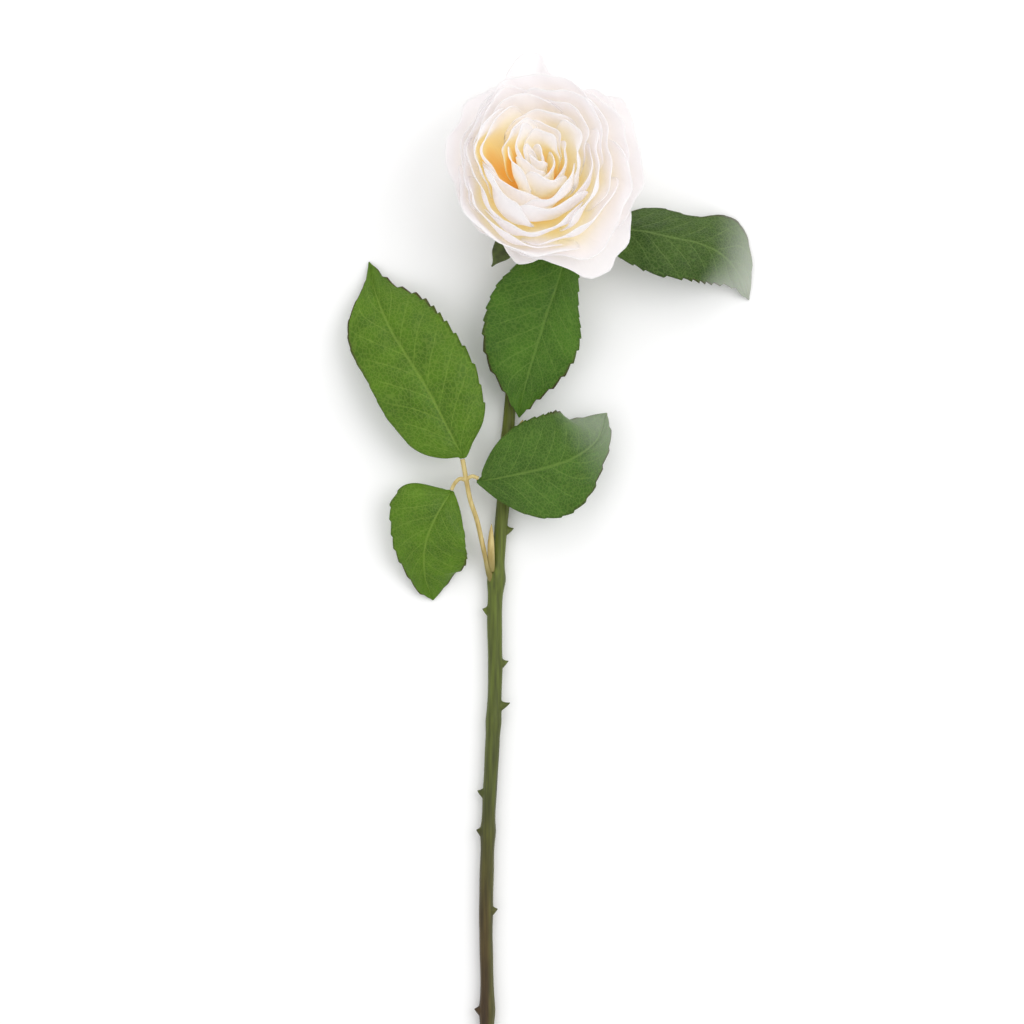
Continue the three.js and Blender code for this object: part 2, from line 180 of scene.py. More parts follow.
def mesh_object(name, points, faces, uvs, material):
    """A smooth closed piece from points, faces and one UV pair for each point."""
    mesh = bpy.data.meshes.new(name)
    mesh.from_pydata([tuple(point) for point in points], [], faces)
    layer = mesh.uv_layers.new(name="UVMap")
    corners = np.empty(len(mesh.loops), int)
    mesh.loops.foreach_get("vertex_index", corners)
    layer.data.foreach_set("uv", np.asarray(uvs, np.float32)[corners].ravel())
    mesh.polygons.foreach_set("use_smooth", np.ones(len(mesh.polygons), bool))
    mesh.materials.append(material)
    piece = bpy.data.objects.new(name, mesh)
    scene.collection.objects.link(piece)
    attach(piece, "root")
    return piece


def ring_faces(rings, sides):
    """Faces of a closed rod: quads between its rings of points, and a fan round the point at each end."""
    faces = []
    for row in range(rings - 1):
        for k in range(sides):
            a, b = row * sides + k, row * sides + (k + 1) % sides
            faces.append((a, b, b + sides, a + sides))
    foot, tip, last = rings * sides, rings * sides + 1, (rings - 1) * sides
    for k in range(sides):
        faces.append((foot, (k + 1) % sides, k))
        faces.append((tip, last + k, last + (k + 1) % sides))
    return faces


def tube(name, route, radius_at, sides, steps, material, slant=0.0, bulge=None):
    """A round closed rod along a route. radius_at takes shares of the length and gives millimetres. slant
    tilts the end at the foot, and bulge gives what stands out from the rod and how far that leans."""
    shares = np.linspace(0, 1, steps + 1)
    centres, headings = along(route, shares)
    across = np.cross(headings, [0, 0, 1.0])
    across /= np.linalg.norm(across, axis=1, keepdims=True)
    upward = np.cross(across, headings)
    turn = np.linspace(0, 2 * np.pi, sides, endpoint=False)
    radii = np.repeat(radius_at(shares)[:, None], sides, axis=1) / 1000
    lean = np.zeros_like(radii)
    if bulge is not None:
        more, lean = bulge(centres, turn)
        radii = radii + more
    spokes = across[:, None] * np.cos(turn)[None, :, None] + upward[:, None] * np.sin(turn)[None, :, None]
    rings = centres[:, None] + spokes * radii[..., None] + headings[:, None] * lean[..., None]
    rings[0] += headings[0] * (slant * radii[0] * np.cos(turn))[:, None]
    points = np.vstack([rings.reshape(-1, 3), centres[:1], centres[-1:]])
    # The rings run clockwise as seen from the tip, so each face is turned round to point outwards.
    faces = [face[::-1] for face in ring_faces(steps + 1, sides)]
    uvs = [(k / sides, share) for share in shares for k in range(sides)] + [(0.5, 0), (0.5, 1)]
    return mesh_object(name, points, faces, uvs, material)


# Places are in millimetres from the second origin: across, up the stem and above the table.
stem_route = [
    (-11.2, -236, 2.9),
    (-10.4, -205, 3),
    (-10.9, -170, 3.2),
    (-9.9, -130, 3.4),
    (-8.4, -102, 3.6),
    (-7, -70, 3.7),
    (-7.2, -40, 3.8),
    (-5.4, -15, 3.6),
    (-3.2, 10, 3.4),
    (-1.2, 40, 3.1),
    (1.6, 70, 2.8),
    (4.8, 97, 2.5),
    (7.4, 113, 2.6),
    (8.9, 121.5, 3.6),
    (9.9, 127.6, 7.4),
    (9.9, 128.7, 10.7),
]
# The stem's radius at heights between its cut end and its neck.
stem_heights = (-236, -170, -100, -40, -15, 40, 100, 129)
stem_radii = (2.75, 2.85, 2.95, 3.1, 2.75, 2.55, 2.35, 2.3)
# For each joint: its height, the share that the stem swells by, and how far that reaches.
stem_joints = ((-209, 0.22, 5), (-134, 0.14, 4), (-88, 0.12, 4), (-28, 0.34, 4.5), (30, 0.16, 4))
# For each thorn: its height, its direction round the stem in degrees, and its length.
thorns = (
    (-209, 175, 2.2),
    (-167, 10, 2.2),
    (-134, 170, 1.8),
    (-118, 185, 2.6),
    (-81, 12, 4.2),
    (-63.5, 0, 2.6),
    (-41.5, 178, 2.2),
    (-7.5, 8, 3),
)
thorn_foot_across, thorn_foot_along = 1.5, 2.1
thorn_hook = 0.45
bark_radius = 2.8


def stem_radius(shares):
    """The stem's radius in millimetres: it thins towards the neck and swells at the joints."""
    centres, _ = along(stem_route, shares)
    heights = (centres[:, 1] - origin[1]) * 1000
    plain = np.interp(heights, stem_heights, stem_radii)
    swelling = sum(swell * np.exp(-(((heights - y) / extent) ** 2)) for y, swell, extent in stem_joints)
    wobble = 0.02 * np.sin(heights * 0.11) + 0.015 * np.sin(heights * 0.37 + 1)
    return plain * (1 + swelling + wobble)


def stem_bulge(centres, turn):
    """How far the thorns and the ridges of the bark stand out, and how far thorns hook to the bloom."""
    heights = (centres[:, 1] - origin[1])[:, None] * 1000
    more = 0.05 * np.sin(turn * 5 + heights * 0.02) + 0.04 * np.sin(turn * 9 - heights * 0.06)
    lean = np.zeros_like(more)
    for y, around, length in thorns:
        sideways = np.angle(np.exp(1j * (turn[None, :] - np.radians(around)))) * bark_radius
        distance = np.hypot(sideways / thorn_foot_across, (heights - y) / thorn_foot_along)
        rise = np.clip(1 - distance, 0, 1)
        more = more + length * rise**1.15 + 0.12 * np.exp(-(distance**2) / 1.5)
        lean = lean + thorn_hook * length * rise**2
    return more / 1000, lean / 1000


def share_between(tree, low, high, most=1.0):
    """A number that runs from 0 at low to its most at high."""
    node = tree.nodes.new("ShaderNodeMapRange")
    node.inputs["From Min"].default_value = low
    node.inputs["From Max"].default_value = high
    node.inputs["To Max"].default_value = most
    return node


def stretched(tree, scale):
    """A mapping that packs a pattern more closely along some axes than along others."""
    node = tree.nodes.new("ShaderNodeMapping")
    node.inputs["Scale"].default_value = scale
    return node


def colour_mix(tree, second=None):
    """A mix of two colours, with the second given here or linked later."""
    node = tree.nodes.new("ShaderNodeMix")
    node.data_type = "RGBA"
    if second is not None:
        node.inputs["B"].default_value = (*second, 1)
    return node


def relief(tree, strength, distance):
    """A bump of the given strength, whose full height is distance in metres."""
    node = tree.nodes.new("ShaderNodeBump")
    node.inputs["Strength"].default_value = strength
    node.inputs["Distance"].default_value = distance
    return node


material, tree, shader = new_material("stem_bark")
place = tree.nodes.new("ShaderNodeTexCoord")
split = tree.nodes.new("ShaderNodeSeparateXYZ")
length_share = share_between(tree, float(origin[1]) - 0.24, float(origin[1]) + 0.12)
age = colour_ramp(
    tree,
    (0, (0.036, 0.02, 0.008)),
    (0.1, (0.058, 0.034, 0.01)),
    (0.2, (0.07, 0.052, 0.012)),
    (0.34, (0.07, 0.088, 0.014)),
    (0.56, (0.098, 0.135, 0.018)),
    (0.8, (0.105, 0.135, 0.014)),
    (1, (0.06, 0.085, 0.014)),
)
# The lower part of the stem's right side, which faces the key light, is painted a lighter yellow-green:
# painted light.
painted_light_side = share_between(tree, float(origin[0]) - 0.0104, float(origin[0]) - 0.0084)
lower_part = share_between(tree, float(origin[1]) - 0.12, float(origin[1]) - 0.165, most=0.6)
painted_light_mask = tree.nodes.new("ShaderNodeMath")
painted_light_mask.operation = "MULTIPLY"
painted_light_green = colour_mix(tree, (0.1, 0.12, 0.026))
stretch = stretched(tree, (900, 60, 900))
streaks = noise(tree, 1, 4)
shade = colour_mix(tree)
shade.blend_type = "MULTIPLY"
shade.inputs["Factor"].default_value = 0.75
contrast = colour_ramp(tree, (0.3, (0.45, 0.4, 0.38)), (0.7, (1.35, 1.3, 1.15)))
bump = relief(tree, 0.35, 0.0004)
link_up(
    tree,
    ((place, "Object"), (split, "Vector")),
    ((split, "Y"), (length_share, "Value")),
    ((length_share, "Result"), (age, "Fac")),
    ((split, "X"), (painted_light_side, "Value")),
    ((split, "Y"), (lower_part, "Value")),
    ((age, "Color"), (painted_light_green, "A")),
    ((painted_light_green, "Result"), (shade, "A")),
    ((contrast, "Color"), (shade, "B")),
    ((shade, "Result"), (shader, "Base Color")),
    ((place, "Object"), (stretch, "Vector")),
    ((stretch, "Vector"), (streaks, "Vector")),
    ((streaks, "Fac"), (contrast, "Fac")),
    ((streaks, "Fac"), (bump, "Height")),
    ((bump, "Normal"), (shader, "Normal")),
)
tree.links.new(painted_light_side.outputs["Result"], painted_light_mask.inputs[0])
tree.links.new(lower_part.outputs["Result"], painted_light_mask.inputs[1])
tree.links.new(painted_light_mask.outputs["Value"], painted_light_green.inputs["Factor"])
shader.inputs["Roughness"].default_value = 0.5
shader.inputs["Specular IOR Level"].default_value = 0.35
stem = tube("rose_stem", stem_route, stem_radius, 44, 820, material, slant=-0.8, bulge=stem_bulge)
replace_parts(stem, "stem")


# ---------------------------------------------------------------- Stalks and buds
# The compound leaf's stalk leaves the stem's widest joint, runs up beside it and branches in three. The
# stalks are tan-green, thicker at the foot, and each bud sits in the angle above a joint.


def stalk_radius(shares):
    """A stalk's radius in millimetres: it is thicker where it leaves the stem."""
    return 1.0 + 0.7 * (1 - ease(0, 0.22, shares))


def side_stalk_radius(shares):
    """A side stalk's radius in millimetres: it is thicker where it leaves the main stalk."""
    return 0.8 + 0.25 * (1 - ease(0, 0.3, shares))


material, tree, shader = new_material("stalk_skin")
place = tree.nodes.new("ShaderNodeTexCoord")
stretch = stretched(tree, (700, 120, 700))
streaks = noise(tree, 1, 3)
tint = colour_ramp(tree, (0.3, (0.42, 0.3, 0.09)), (0.72, (0.66, 0.55, 0.25)))
# The foot of the compound leaf's stalk, and the bud beside it, take the colour of the bark there.
split = tree.nodes.new("ShaderNodeSeparateXYZ")
near_joint = share_between(tree, float(origin[1]) - 0.013, float(origin[1]) - 0.026, most=0.85)
barky = colour_mix(tree, (0.16, 0.14, 0.03))
bump = relief(tree, 0.3, 0.0003)
link_up(
    tree,
    ((place, "Object"), (stretch, "Vector")),
    ((stretch, "Vector"), (streaks, "Vector")),
    ((streaks, "Fac"), (tint, "Fac")),
    ((place, "Object"), (split, "Vector")),
    ((split, "Y"), (near_joint, "Value")),
    ((near_joint, "Result"), (barky, "Factor")),
    ((tint, "Color"), (barky, "A")),
    ((barky, "Result"), (shader, "Base Color")),
    ((streaks, "Fac"), (bump, "Height")),
    ((bump, "Normal"), (shader, "Normal")),
)
shader.inputs["Roughness"].default_value = 0.5
shader.inputs["Specular IOR Level"].default_value = 0.3
stalk_material = material

rachis_route = [
    (-7.6, -30, 5),
    (-9.8, -24.5, 6.2),
    (-12, -15, 8),
    (-14.6, -3.5, 10.6),
    (-17.4, 5, 12.2),
    (-19.2, 14.2, 13),
    (-20.6, 22, 13.6),
]
left_side_route = [(-19, 13.4, 12.9), (-21.8, 13.8, 13.2), (-24, 11.7, 12.8), (-25.2, 9.2, 12.3)]
right_side_route = [(-19.2, 13.6, 12.9), (-16.6, 14.9, 13.1), (-14, 14, 12.9)]
rachis = tube("leaf_stalk", rachis_route, stalk_radius, 20, 60, stalk_material)
for name, route in (("left_side_stalk", left_side_route), ("right_side_stalk", right_side_route)):
    side_stalk = tube(name, route, side_stalk_radius, 18, 24, stalk_material)
    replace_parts(side_stalk, "rachis")
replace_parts(rachis, "rachis")

front_stalk_route = [
    (7.2, 97, 6.4),
    (11.5, 107, 9.5),
    (16, 114, 13),
    (20.5, 117, 16),
    (23, 115.3, 18.4),
    (23, 111.6, 19.6),
]
right_stalk_route = [(8, 86, 3.9), (14, 97.5, 6.5), (25, 109, 12), (36, 116.5, 16.4)]
for name, route, node in (
    ("front_leaf_stalk", front_stalk_route, "front_stalk"),
    ("right_leaf_stalk", right_stalk_route, "right_stalk"),
):
    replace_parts(tube(name, route, stalk_radius, 18, 40, stalk_material), node)

for name, route, widest, node in (
    ("joint_bud", [(-8.2, -25, 6.6), (-8.8, -16, 7.8), (-8.6, -5, 8.4)], 1.5, "axil_bud"),
    ("upper_joint_bud", [(1.7, 31, 5), (3, 34.6, 5.6), (4.6, 38.6, 5.8)], 1.2, "upper_bud"),
):

    def bud_radius(shares, widest=widest):
        return np.maximum(widest * np.sin(np.pi * (0.15 + 0.85 * shares)) ** 0.7, 0.08)

    bud = tube(name, route, bud_radius, 16, 24, stalk_material)
    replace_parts(bud, node)


# ---------------------------------------------------------------- Compound leaf
# Three leathery leaflets with a fold along the midrib, forward-pointing teeth and a net of pale veins. The
# long leaflet ends the stalk, and the other two sit on the short side stalks.


def smooth(stations, sizes, t):
    """A smooth curve through the sizes at the stations."""
    stations, sizes = np.asarray(stations, float), np.asarray(sizes, float)
    slopes = np.gradient(sizes, stations)
    i = np.clip(np.searchsorted(stations, t, side="right") - 1, 0, len(stations) - 2)
    span = stations[i + 1] - stations[i]
    x = (t - stations[i]) / span
    near = (1 + 2 * x) * (1 - x) ** 2 * sizes[i] + x * (1 - x) ** 2 * span * slopes[i]
    far = x * x * (3 - 2 * x) * sizes[i + 1] + x * x * (x - 1) * span * slopes[i + 1]
    return near + far


def sheet(name, across, up, place_points, thickness, material, attributes=None):
    """A thin closed sheet from a grid: place_points takes u from -1 to 1 and v from 0 to 1."""
    bpy.ops.object.select_all(action="DESELECT")
    bpy.ops.mesh.primitive_grid_add(x_subdivisions=across, y_subdivisions=up, size=2, calc_uvs=True)
    piece = bpy.context.object
    piece.name = name
    piece.data.name = name
    flat = np.empty(len(piece.data.vertices) * 3)
    piece.data.vertices.foreach_get("co", flat)
    u, v = flat[0::3], (flat[1::3] + 1) / 2
    piece.data.vertices.foreach_set("co", place_points(u, v).ravel())
    solid = piece.modifiers.new("thickness", "SOLIDIFY")
    solid.thickness = thickness
    solid.offset = 0
    bpy.ops.object.modifier_apply(modifier=solid.name)
    for label, values in (attributes or {}).items():
        attribute = piece.data.attributes.new(label, "FLOAT", "POINT")
        attribute.data.foreach_set("value", values(u, v).astype(np.float32))
    piece.data.polygons.foreach_set("use_smooth", np.ones(len(piece.data.polygons), bool))
    piece.data.materials.clear()
    piece.data.materials.append(material)
    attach(piece, "root")
    return piece


leaf_thickness = 0.00035
vein_pairs, vein_curve, vein_sweep = 9, 0.8, 2.2
midrib_groove, ripple_height = 0.35, 0.5
width_stations = [0, 0.08, 0.25, 0.5, 0.75, 0.9, 1]
foot_width, tip_width = 0.8, 0.15


def leaf_blade(name, node, route, left, right, slope, roll, teeth, tooth, material, phase):
    """A leaf blade. left and right are its half widths in millimetres at the inner stations, from foot to
    tip, and roll is how far its edges curl down. slope in degrees, the number of teeth and the length of a
    tooth are pairs, with the left half's first. phase shifts its teeth and ripples."""

    def place_points(u, v):
        points, headings = along(route, v)
        sideways = np.cross(headings, [0, 0, 1.0])
        sideways /= np.linalg.norm(sideways, axis=1, keepdims=True)
        upward = np.cross(sideways, headings)
        width = np.where(
            u < 0,
            smooth(width_stations, [foot_width, *left, tip_width], v),
            smooth(width_stations, [foot_width, *right, tip_width], v),
        )
        width = np.maximum(width, 0.12)
        count = np.where(u < 0, teeth[0], teeth[1])
        size = np.where(u < 0, tooth[0], tooth[1])
        saw = (v * count + 0.35 * np.sin(v * 9 + phase)) % 1
        spike = np.where(saw < 0.78, saw / 0.78, (1 - saw) / 0.22)
        spike = spike * ease(0.05, 0.14, v) * (1 - ease(0.93, 0.99, v)) * np.abs(u) ** 10
        span = width * u + np.sign(u) * size * spike
        angle = np.radians(np.where(u < 0, slope[0], slope[1]))
        lines = v * vein_pairs - np.abs(u) ** vein_curve * vein_sweep + np.where(u < 0, 0.5, 0)
        middle = ease(0, 0.15, np.abs(u)) * (1 - ease(0.7, 1, np.abs(u)))
        quilt = 0.22 * np.abs(np.sin(np.pi * lines)) * middle
        groove = -midrib_groove * np.exp(-((u * width / 1.2) ** 2))
        ripple = ripple_height * np.sin(v * 17 + phase + np.where(u < 0, 0, 2)) * u**2
        ripple = ripple * ease(0.05, 0.3, v) * (1 - ease(0.85, 1, v))
        lift = width * (np.sin(angle) * np.abs(u) - roll * u**2) + quilt + groove + ripple
        points = points + sideways * (span * np.cos(angle))[:, None] / 1000
        points = points + upward * lift[:, None] / 1000
        return points + headings * (0.9 * size * spike)[:, None] / 1000

    blade = sheet(name, 48, 190, place_points, leaf_thickness, material)
    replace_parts(blade, node)
    return blade


# The vein pattern is shared by every leaf. It reads the blade's own UV, and gives masks for the midrib and
# side veins, for the fine net between them and for the blade's edge, and the share of its length.
veins = bpy.data.node_groups.new("leaf_veins", "ShaderNodeTree")
veins.interface.new_socket("UV", in_out="INPUT", socket_type="NodeSocketVector")
for output in ("Ribs", "Net", "Edge", "Along"):
    veins.interface.new_socket(output, in_out="OUTPUT", socket_type="NodeSocketFloat")


def maths(tree, operation, first, second=None, third=None):
    """A maths node, with sockets or plain numbers as its inputs."""
    node = tree.nodes.new("ShaderNodeMath")
    node.operation = operation
    for index, value in enumerate((first, second, third)):
        if value is None:
            continue
        if isinstance(value, (int, float)):
            node.inputs[index].default_value = value
        else:
            tree.links.new(value, node.inputs[index])
    return node.outputs["Value"]


def band(tree, value, low, high, start=1.0, end=0.0):
    """A smooth step of value from start at low to end at high."""
    node = tree.nodes.new("ShaderNodeMapRange")
    node.interpolation_type = "SMOOTHSTEP"
    node.inputs["From Min"].default_value = low
    node.inputs["From Max"].default_value = high
    node.inputs["To Min"].default_value = start
    node.inputs["To Max"].default_value = end
    tree.links.new(value, node.inputs["Value"])
    return node.outputs["Result"]


group_in = veins.nodes.new("NodeGroupInput")
group_out = veins.nodes.new("NodeGroupOutput")
split = veins.nodes.new("ShaderNodeSeparateXYZ")
veins.links.new(group_in.outputs["UV"], split.inputs["Vector"])
signed = maths(veins, "MULTIPLY_ADD", split.outputs["X"], 2.0, -1.0)
aside = maths(veins, "ABSOLUTE", signed)
left_half = maths(veins, "MULTIPLY", maths(veins, "LESS_THAN", signed, 0.0), 0.5)
climb = maths(veins, "MULTIPLY", maths(veins, "POWER", aside, vein_curve), vein_sweep)
stripe = maths(veins, "SUBTRACT", maths(veins, "MULTIPLY", split.outputs["Y"], vein_pairs), climb)
stripe = maths(veins, "FRACT", maths(veins, "ADD", maths(veins, "ADD", stripe, left_half), 20.0))
nearest = maths(veins, "MINIMUM", stripe, maths(veins, "SUBTRACT", 1.0, stripe))
side_veins = maths(veins, "MULTIPLY", band(veins, nearest, 0.01, 0.06), band(veins, aside, 0.6, 0.98))
midrib = band(veins, aside, 0.01, 0.045)
ribs = maths(veins, "MAXIMUM", maths(veins, "MULTIPLY", side_veins, 0.7), midrib)
stretch = stretched(veins, (26, 54, 1))
cells = veins.nodes.new("ShaderNodeTexVoronoi")
cells.feature = "DISTANCE_TO_EDGE"
cells.inputs["Scale"].default_value = 1.0
veins.links.new(group_in.outputs["UV"], stretch.inputs["Vector"])
veins.links.new(stretch.outputs["Vector"], cells.inputs["Vector"])
veins.links.new(ribs, group_out.inputs["Ribs"])
veins.links.new(band(veins, cells.outputs["Distance"], 0.02, 0.14), group_out.inputs["Net"])
veins.links.new(band(veins, aside, 0.93, 0.985, 0.0, 1.0), group_out.inputs["Edge"])
veins.links.new(split.outputs["Y"], group_out.inputs["Along"])


def leaf_material(name, dark, light, vein, painted_sheen=0.0):
    """A leathery leaf skin: mottled green, paler veins, darker reddish teeth and a soft gloss. Its last
    argument is how far its tip is painted pale grey, a painted sheen."""
    material, tree, shader = new_material(name)
    place = tree.nodes.new("ShaderNodeTexCoord")
    pattern = tree.nodes.new("ShaderNodeGroup")
    pattern.node_tree = veins
    mottle = noise(tree, 90, 5)
    greens = colour_ramp(tree, (0.32, dark), (0.7, light))
    link_up(
        tree,
        ((place, "UV"), (pattern, "UV")),
        ((place, "Object"), (mottle, "Vector")),
        ((mottle, "Fac"), (greens, "Fac")),
    )
    colour = greens.outputs["Color"]
    redder = band(tree, pattern.outputs["Along"], 0.4, 0.85, 0.12, 0.95)
    red = maths(tree, "MULTIPLY", pattern.outputs["Edge"], redder)
    for amount, paint in (
        (maths(tree, "MULTIPLY", pattern.outputs["Net"], 0.22), vein),
        (maths(tree, "MULTIPLY", pattern.outputs["Ribs"], 0.34), vein),
        (red, (0.05, 0.018, 0.012)),
        # Towards the tip the blade is painted pale grey-green as far as the last argument says: a painted
        # sheen.
        (band(tree, pattern.outputs["Along"], 0.58, 0.95, 0, painted_sheen), (0.5, 0.54, 0.46)),
    ):
        mix = colour_mix(tree, paint)
        tree.links.new(amount, mix.inputs["Factor"])
        tree.links.new(colour, mix.inputs["A"])
        colour = mix.outputs["Result"]
    tree.links.new(colour, shader.inputs["Base Color"])
    dimples = maths(tree, "MULTIPLY", mottle.outputs["Fac"], 0.4)
    depth = maths(tree, "MULTIPLY_ADD", pattern.outputs["Net"], 0.35, dimples)
    bump = relief(tree, 0.35, 0.0005)
    bump.invert = True
    tree.links.new(depth, bump.inputs["Height"])
    tree.links.new(bump.outputs["Normal"], shader.inputs["Normal"])
    tree.links.new(band(tree, mottle.outputs["Fac"], 0.3, 0.7, 0.36, 0.5), shader.inputs["Roughness"])
    shader.inputs["Specular IOR Level"].default_value = 0.22
    shader.inputs["Subsurface Weight"].default_value = 0.06
    shader.inputs["Subsurface Radius"].default_value = (0.4, 1.0, 0.1)
    shader.inputs["Subsurface Scale"].default_value = 0.002
    return material


leaf_green = leaf_material(
    "leaf_green", dark=(0.054, 0.122, 0.003), light=(0.088, 0.188, 0.006), vein=(0.26, 0.38, 0.06)
)
# The right-hand leaflet's skin has its tip painted pale grey: a painted sheen.
leaf_painted_sheen = leaf_material(
    "leaf_painted_sheen", dark=(0.036, 0.09, 0.005), light=(0.062, 0.142, 0.013), vein=(0.2, 0.32, 0.06), painted_sheen=0.4
)

leaf_blade(
    "long_leaflet",
    "terminal_leaflet",
    [
        (-20.65, 22.3, 13.6),
        (-21.1, 24.3, 13.9),
        (-24.3, 30, 15.6),
        (-34, 48.8, 18.4),
        (-42.4, 62.6, 18),
        (-50, 75, 14.6),
        (-56.6, 90, 7.4),
        (-60, 105, 0.5),
    ],
    left=[12.5, 20, 20, 16, 3.5],
    right=[12.5, 20.5, 22, 16.5, 5.5],
    slope=(14, 14),
    roll=0.3,
    teeth=(15, 15),
    tooth=(0.25, 1.1),
    material=leaf_green,
    phase=0.4,
)
leaf_blade(
    "left_leaflet",
    "small_leaflet",
    [
        (-25.3, 8.9, 12.2),
        (-26.2, 7, 12.2),
        (-31.8, -2.4, 14.4),
        (-36.2, -13.8, 12),
        (-36.6, -26.5, 6.2),
        (-33.2, -37, 0.5),
    ],
    left=[6.5, 13.5, 18, 16, 9],
    right=[13, 19.5, 14, 7, 3.5],
    slope=(14, 10),
    roll=0.3,
    teeth=(11, 10),
    tooth=(0.5, 0.6),
    material=leaf_green,
    phase=2.0,
)
leaf_blade(
    "right_hand_leaflet",
    "right_leaflet",
    [
        (-13.7, 13.8, 12.9),
        (-11.9, 13.1, 12.8),
        (-1, 15, 15.6),
        (13.6, 18.3, 18.2),
        (26, 22.6, 18.4),
        (35.4, 30, 14.6),
        (39.6, 41.4, 8),
    ],
    left=[9.2, 18.5, 21.4, 19, 12],
    right=[7.6, 17.2, 21, 7.8, 3],
    slope=(10, 10),
    roll=0.25,
    teeth=(14, 12),
    tooth=(0.7, 0.6),
    material=leaf_painted_sheen,
    phase=1.1,
)


# ---------------------------------------------------------------- Single leaves
# One leaf hangs from under the bloom over the stem. The other stands out to the right of the bloom, with
# its far half folded down along the midrib and its end bent to the table.

leaf_deep = leaf_material(
    "leaf_deep", dark=(0.034, 0.096, 0.003), light=(0.06, 0.15, 0.008), vein=(0.2, 0.32, 0.06)
)
# The far leaf's tip half is painted pale grey: a painted sheen where its end bends down.
leaf_dark = leaf_material(
    "leaf_dark", dark=(0.024, 0.056, 0.005), light=(0.046, 0.094, 0.01), vein=(0.2, 0.3, 0.08), painted_sheen=0.8
)

leaf_blade(
    "hanging_leaf",
    "front_leaf",
    [
        (23, 111.3, 19.7),
        (22.9, 109.4, 20.1),
        (21.3, 103, 20),
        (18.4, 93, 20),
        (14.8, 83, 19),
        (11, 71, 16.6),
        (7.6, 60, 13.6),
        (4.4, 48, 10),
        (3, 39.5, 8),
    ],
    left=[5, 9.5, 16.5, 12.5, 5],
    right=[12, 21, 24.5, 17.5, 6],
    slope=(10, 10),
    roll=0.22,
    teeth=(14, 14),
    tooth=(0.9, 0.8),
    material=leaf_deep,
    phase=3.0,
)
leaf_blade(
    "far_leaf",
    "right_leaf",
    [
        (36.3, 116.7, 16.5),
        (38, 117.4, 17.2),
        (53, 116.6, 21),
        (64, 114.2, 22.2),
        (78, 111.2, 20.6),
        (87.6, 106.6, 16),
        (94.8, 99, 8.6),
        (99.5, 89, 0.5),
    ],
    left=[7, 14.5, 14.5, 19.5, 6.5],
    right=[9, 15, 15.5, 11, 3.5],
    slope=(-40, 6),
    roll=0.12,
    teeth=(12, 13),
    tooth=(0.4, 1.0),
    material=leaf_dark,
    phase=0.0,
)


# ---------------------------------------------------------------- Hip and sepals
# The hip is the swollen green top of the stem, with a cone inside the bloom that carries the petals. Five
# pointed sepals spread from under it, close to the backs of the guard petals.

bloom_lean = np.radians(-18)
bloom_turn = np.array(
    [
        [1, 0, 0],
        [0, np.cos(bloom_lean), -np.sin(bloom_lean)],
        [0, np.sin(bloom_lean), np.cos(bloom_lean)],
    ]
)
bloom_foot = np.array([9.9, 134.6, 29])


def from_bloom(points):
    """Turns points in the bloom's own millimetres, from the top of its cone, into the model's frame."""
    return (points @ bloom_turn.T + bloom_foot) / 1000 + origin


material, tree, shader = new_material("hip_skin")
place = tree.nodes.new("ShaderNodeTexCoord")
mottle = noise(tree, 260, 5)
tint = colour_ramp(tree, (0.3, (0.035, 0.045, 0.01)), (0.72, (0.09, 0.13, 0.025)))
bump = relief(tree, 0.3, 0.0004)
link_up(
    tree,
    ((place, "Object"), (mottle, "Vector")),
    ((mottle, "Fac"), (tint, "Fac")),
    ((tint, "Color"), (shader, "Base Color")),
    ((mottle, "Fac"), (bump, "Height")),
    ((bump, "Normal"), (shader, "Normal")),
)
shader.inputs["Roughness"].default_value = 0.55
hip_material = material

profile_height = np.array([-19, -17, -15, -12.5, -11, -9.8, -8.9, -7.6, -5, -2.5, 0.2])
profile_radius = np.array([2.5, 3.1, 4.6, 5.6, 5.9, 6.2, 6.3, 5.6, 3.9, 2.2, 0.5])
cone_top = 0.6
rows, sides = 48, 36
heights = np.linspace(profile_height[0], profile_height[-1], rows)
radii = np.interp(heights, profile_height, profile_radius)
turn = np.linspace(0, 2 * np.pi, sides, endpoint=False)
ring_points = [
    (radius * (1 + 0.02 * np.cos(5 * angle)) * np.cos(angle), radius * np.sin(angle), height)
    for height, radius in zip(heights, radii)
    for angle in turn
]
ring_points += [(0, 0, profile_height[0]), (0, 0, cone_top)]
faces = ring_faces(rows, sides)
uvs = [(k / sides, row / rows) for row in range(rows) for k in range(sides)] + [(0.5, 0), (0.5, 1)]
hip = mesh_object("rose_hip", from_bloom(np.array(ring_points)), faces, uvs, hip_material)
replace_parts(hip, "hip")

sepal_thickness, sepal_half_width = 0.0005, 5.6
first_sepal_length, other_sepal_length = 31, 26
for number in range(5):
    azimuth = np.radians(-119 + 72 * number)

    def sepal_points(u, v, azimuth=azimuth, number=number):
        breadth = sepal_half_width * (0.12 + 0.88 * np.sin(np.pi * (0.22 + 0.7 * v)))
        breadth = breadth * (1 - 0.85 * ease(0.78, 1, v))
        reach = 6.9 + (first_sepal_length if number == 0 else other_sepal_length) * v
        height = -9.6 + 4.5 * v**2 + 0.9 * u**2 * np.sin(np.pi * v) - 1.2 * ease(0.7, 1, v)
        aside = u * breadth + 1.2 * np.sin(3 * v + number) * v
        x = reach * np.cos(azimuth) - aside * np.sin(azimuth)
        y = reach * np.sin(azimuth) + aside * np.cos(azimuth)
        return from_bloom(np.column_stack([x, y, height]))

    sepal = sheet(f"sepal_leaf_{number + 1}", 12, 40, sepal_points, sepal_thickness, hip_material)
    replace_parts(sepal, f"sepal_{number + 1}")


# ---------------------------------------------------------------- Petals
# Thin, soft, cream-white petals in nine whorls. Each grows from its own foot on the cone, cups round the
# ones inside it and rolls back a little at its rim. The feet are yellow, and the heart is deepest.

